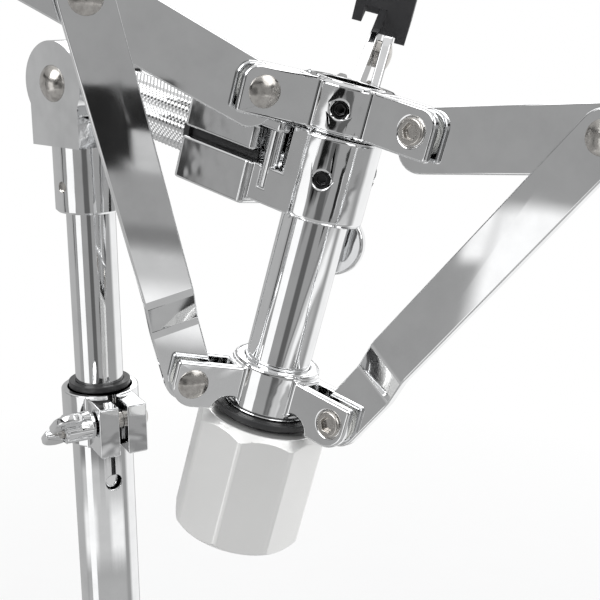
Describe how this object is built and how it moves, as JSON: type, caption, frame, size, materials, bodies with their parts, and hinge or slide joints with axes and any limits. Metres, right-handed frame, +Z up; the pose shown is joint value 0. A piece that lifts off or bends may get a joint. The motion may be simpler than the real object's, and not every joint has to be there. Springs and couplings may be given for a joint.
{
  "type": "snare drum stand",
  "caption": "Folding tripod stand with a sliding upright, a tilter on a knurled bar and a three-arm basket that a round nut closes on a snare drum.",
  "frame": {"origin": "on the floor, on the axis of the upright", "axes": "+Z up along the upright; the basket leans towards +X, and its tube's lower end towards -X; the picture was taken looking along +Y"},
  "size_m": [0.5288, 0.4786, 0.5634],
  "materials": {
    "lower_tube": "mirror",
    "tube_plug": "matte",
    "height_clamp": "mirror",
    "height_clamp_bolt": "mirror",
    "brace_hub": "mirror",
    "brace_hub_pins": "mirror",
    "height_wing_nut": "mirror",
    "leg_collar": "mirror",
    "leg_pins": "mirror",
    "leg_wing_bolt": "mirror",
    "leg_1": "mirror",
    "leg_2": "mirror",
    "leg_3": "mirror",
    "foot_1": "matte",
    "foot_2": "matte",
    "foot_3": "matte",
    "brace_1": "mirror",
    "brace_2": "mirror",
    "brace_3": "mirror",
    "height_bush": "matte",
    "upper_tube": "mirror",
    "tilter_head": "mirror",
    "head_pin": "mirror",
    "tilt_bolt": "mirror",
    "tilt_washers": "matte",
    "tilt_wing_nut": "mirror",
    "knurled_bar": "knurled chrome",
    "clamp_casting": "mirror",
    "upper_jaw": "mirror",
    "clamp_sleeve": "matte",
    "jaw_bolt": "mirror",
    "jaw_washer": "mirror",
    "jaw_jack_screw": "mirror",
    "jaw_wing_nut": "mirror",
    "collar_lever_bolt": "mirror",
    "collar_set_screw": "mirror",
    "basket_tube": "mirror",
    "upper_hub": "mirror",
    "hub_set_screw": "mirror",
    "upper_pivot_posts": "mirror",
    "upper_pivot_screws": "mirror",
    "upper_pivot_washers": "matte",
    "upper_arm_1": "mirror",
    "upper_arm_2": "mirror",
    "upper_arm_3": "mirror",
    "tip_1": "matte",
    "tip_2": "matte",
    "tip_3": "matte",
    "lower_hub": "mirror",
    "lower_pivot_posts": "mirror",
    "lower_pivot_screws": "mirror",
    "lower_pivot_washers": "matte",
    "thrust_washer": "matte",
    "lower_strap_1": "mirror",
    "lower_strap_2": "mirror",
    "lower_strap_3": "mirror",
    "strap_rivet_1": "mirror",
    "strap_rivet_2": "mirror",
    "strap_rivet_3": "mirror",
    "basket_nut": "satin"
  },
  "bodies": {
    "stand": {"lower_tube": "lower_tube", "tube_plug": "tube_plug", "height_clamp": "height_clamp", "height_clamp_bolt": "height_clamp_bolt", "brace_hub": "brace_hub", "brace_hub_pins": "brace_hub_pins"},
    "height_nut": {"height_wing_nut": "height_wing_nut"},
    "bush": {"height_bush": "height_bush"},
    "mast": {"upper_tube": "upper_tube", "tilter_head": "tilter_head", "head_pin": "head_pin", "tilt_bolt": "tilt_bolt"},
    "tilt_nut": {"tilt_wing_nut": "tilt_wing_nut"},
    "tilter_bar": {"knurled_bar": "knurled_bar", "tilt_washers": "tilt_washers"},
    "bar_clamp": {"clamp_casting": "clamp_casting", "upper_jaw": "upper_jaw", "clamp_sleeve": "clamp_sleeve", "jaw_bolt": "jaw_bolt", "jaw_washer": "jaw_washer", "jaw_jack_screw": "jaw_jack_screw", "collar_set_screw": "collar_set_screw"},
    "jaw_nut": {"jaw_wing_nut": "jaw_wing_nut"},
    "collar_lever": {"collar_lever_bolt": "collar_lever_bolt"},
    "basket": {"basket_tube": "basket_tube", "upper_hub": "upper_hub", "hub_set_screw": "hub_set_screw", "upper_pivot_posts": "upper_pivot_posts", "upper_pivot_screws": "upper_pivot_screws", "upper_pivot_washers": "upper_pivot_washers"},
    "slider": {"lower_hub": "lower_hub", "lower_pivot_posts": "lower_pivot_posts", "lower_pivot_screws": "lower_pivot_screws", "lower_pivot_washers": "lower_pivot_washers", "thrust_washer": "thrust_washer"},
    "grip_nut": {"basket_nut": "basket_nut"},
    "collar": {"leg_collar": "leg_collar", "leg_pins": "leg_pins"},
    "collar_wing": {"leg_wing_bolt": "leg_wing_bolt"},
    "leg_body_1": {"leg_1": "leg_1", "foot_1": "foot_1"},
    "brace_body_1": {"brace_1": "brace_1"},
    "arm_body_1": {"upper_arm_1": "upper_arm_1", "tip_1": "tip_1"},
    "strap_body_1": {"lower_strap_1": "lower_strap_1", "strap_rivet_1": "strap_rivet_1"},
    "leg_body_2": {"leg_2": "leg_2", "foot_2": "foot_2"},
    "brace_body_2": {"brace_2": "brace_2"},
    "arm_body_2": {"upper_arm_2": "upper_arm_2", "tip_2": "tip_2"},
    "strap_body_2": {"lower_strap_2": "lower_strap_2", "strap_rivet_2": "strap_rivet_2"},
    "leg_body_3": {"leg_3": "leg_3", "foot_3": "foot_3"},
    "brace_body_3": {"brace_3": "brace_3"},
    "arm_body_3": {"upper_arm_3": "upper_arm_3", "tip_3": "tip_3"},
    "strap_body_3": {"lower_strap_3": "lower_strap_3", "strap_rivet_3": "strap_rivet_3"}
  },
  "joints": [
    {"name": "brace_1_fold", "type": "hinge", "parent": "stand", "child": "brace_body_1", "pos_m": [0.02206, -0.01724, 0.05312], "axis": [-0.6157, -0.788, 0], "range_deg": [0, 53.8]},
    {"name": "leg_1_fold", "type": "hinge", "parent": "brace_body_1", "child": "leg_body_1", "pos_m": [0.09209, -0.07195, 0.10906], "axis": [0.6157, 0.788, 0], "range_deg": [0, 107.6]},
    {"name": "collar_carry", "type": "hinge", "parent": "leg_body_1", "child": "collar", "pos_m": [0.02206, -0.01724, 0.165], "axis": [-0.6157, -0.788, 0], "range_deg": [0, 53.8]},
    {"name": "brace_2_fold", "type": "hinge", "parent": "stand", "child": "brace_body_2", "pos_m": [0.0039, 0.02773, 0.05312], "axis": [0.9903, -0.1392, 0], "range_deg": [0, 53.8]},
    {"name": "leg_2_fold", "type": "hinge", "parent": "brace_body_2", "child": "leg_body_2", "pos_m": [0.01626, 0.11572, 0.10906], "axis": [-0.9903, 0.1392, 0], "range_deg": [0, 107.6]},
    {"name": "brace_3_fold", "type": "hinge", "parent": "stand", "child": "brace_body_3", "pos_m": [-0.02596, -0.01049, 0.05312], "axis": [-0.3746, 0.9272, 0], "range_deg": [0, 53.8]},
    {"name": "leg_3_fold", "type": "hinge", "parent": "brace_body_3", "child": "leg_body_3", "pos_m": [-0.10835, -0.04378, 0.10906], "axis": [0.3746, -0.9272, 0], "range_deg": [0, 107.6]},
    {"name": "leg_wing_turn", "type": "hinge", "parent": "collar", "child": "collar_wing", "pos_m": [0, 0, 0.175], "axis": [0.9272, 0.3746, 0], "continuous": true},
    {"name": "height_wing_turn", "type": "hinge", "parent": "stand", "child": "height_nut", "pos_m": [0.0115, -0.01992, 0.304], "axis": [0.866, 0.5, 0], "continuous": true},
    {"name": "height_turn", "type": "hinge", "parent": "stand", "child": "bush", "pos_m": [0, 0, 0.314], "axis": [0, 0, 1], "continuous": true},
    {"name": "height_slide", "type": "slide", "parent": "bush", "child": "mast", "axis": [0, 0, 1], "range_m": [-0.055, 0.09]},
    {"name": "tilt", "type": "hinge", "parent": "mast", "child": "tilter_bar", "pos_m": [0, 0, 0.455], "axis": [0.6157, 0.788, 0], "range_deg": [-60, 14]},
    {"name": "tilt_wing_turn", "type": "hinge", "parent": "mast", "child": "tilt_nut", "pos_m": [0, 0, 0.455], "axis": [0.6157, 0.788, 0], "continuous": true},
    {"name": "basket_roll", "type": "hinge", "parent": "tilter_bar", "child": "bar_clamp", "pos_m": [0, 0, 0.455], "axis": [0.7725, -0.6035, -0.1977], "range_deg": [-11, 28]},
    {"name": "jaw_wing_turn", "type": "hinge", "parent": "bar_clamp", "child": "jaw_nut", "pos_m": [0.07773, -0.05733, 0.45317], "axis": [0.2481, 0.0003, 0.9687], "continuous": true},
    {"name": "collar_lever_turn", "type": "hinge", "parent": "bar_clamp", "child": "collar_lever", "pos_m": [0.1066, -0.08328, 0.42772], "axis": [0.3647, 0.9264, -0.0937], "range_deg": [-60, 20]},
    {"name": "basket_turn", "type": "hinge", "parent": "bar_clamp", "child": "basket", "pos_m": [0.11293, -0.08328, 0.45243], "axis": [0.2481, 0.0003, 0.9687], "range_deg": [-12, 12]},
    {"name": "hub_slide", "type": "slide", "parent": "basket", "child": "slider", "axis": [0.2481, 0.0003, 0.9687], "range_m": [-0.00601, 0.01201]},
    {"name": "arm_1_swing", "type": "hinge", "parent": "basket", "child": "arm_body_1", "pos_m": [0.08214, -0.09669, 0.46032], "axis": [-0.3767, 0.9213, 0.0962], "range_deg": [-6.4, 12.7]},
    {"name": "arm_2_swing", "type": "hinge", "parent": "basket", "child": "arm_body_2", "pos_m": [0.13958, -0.1041, 0.44561], "axis": [-0.5846, -0.7974, 0.15], "range_deg": [-6.4, 12.7]},
    {"name": "arm_3_swing", "type": "hinge", "parent": "basket", "child": "arm_body_3", "pos_m": [0.11591, -0.04892, 0.45165], "axis": [0.9649, -0.0893, -0.2471], "range_deg": [-6.4, 12.7]},
    {"name": "strap_1_swing", "type": "hinge", "parent": "slider", "child": "strap_body_1", "pos_m": [0.05459, -0.09672, 0.35279], "axis": [0.3767, -0.9213, -0.0962], "range_deg": [-2.3, 1.2]},
    {"name": "strap_2_swing", "type": "hinge", "parent": "slider", "child": "strap_body_2", "pos_m": [0.11204, -0.10413, 0.33808], "axis": [0.5846, 0.7974, -0.15], "range_deg": [-2.3, 1.2]},
    {"name": "strap_3_swing", "type": "hinge", "parent": "slider", "child": "strap_body_3", "pos_m": [0.08837, -0.04895, 0.34412], "axis": [-0.9649, 0.0893, 0.2471], "range_deg": [-2.3, 1.2]},
    {"name": "nut_turn", "type": "hinge", "parent": "slider", "child": "grip_nut", "pos_m": [0.07819, -0.08332, 0.3168], "axis": [0.2481, 0.0003, 0.9687], "range_deg": [-1080, 2160]}
  ],
  "couplings": [
    {"joint": "leg_1_fold", "follows": "brace_1_fold", "ratio": 2},
    {"joint": "brace_2_fold", "follows": "brace_1_fold", "ratio": 1},
    {"joint": "leg_2_fold", "follows": "brace_1_fold", "ratio": 2},
    {"joint": "brace_3_fold", "follows": "brace_1_fold", "ratio": 1},
    {"joint": "leg_3_fold", "follows": "brace_1_fold", "ratio": 2},
    {"joint": "collar_carry", "follows": "brace_1_fold", "ratio": 1},
    {"joint": "hub_slide", "follows": "nut_turn", "m_per_rad": 0.00031831},
    {"joint": "arm_1_swing", "follows": "nut_turn", "ratio": 0.005841},
    {"joint": "strap_1_swing", "follows": "nut_turn", "ratio": -0.00099631},
    {"joint": "arm_2_swing", "follows": "nut_turn", "ratio": 0.005841},
    {"joint": "strap_2_swing", "follows": "nut_turn", "ratio": -0.00099631},
    {"joint": "arm_3_swing", "follows": "nut_turn", "ratio": 0.005841},
    {"joint": "strap_3_swing", "follows": "nut_turn", "ratio": -0.00099631}
  ]
}
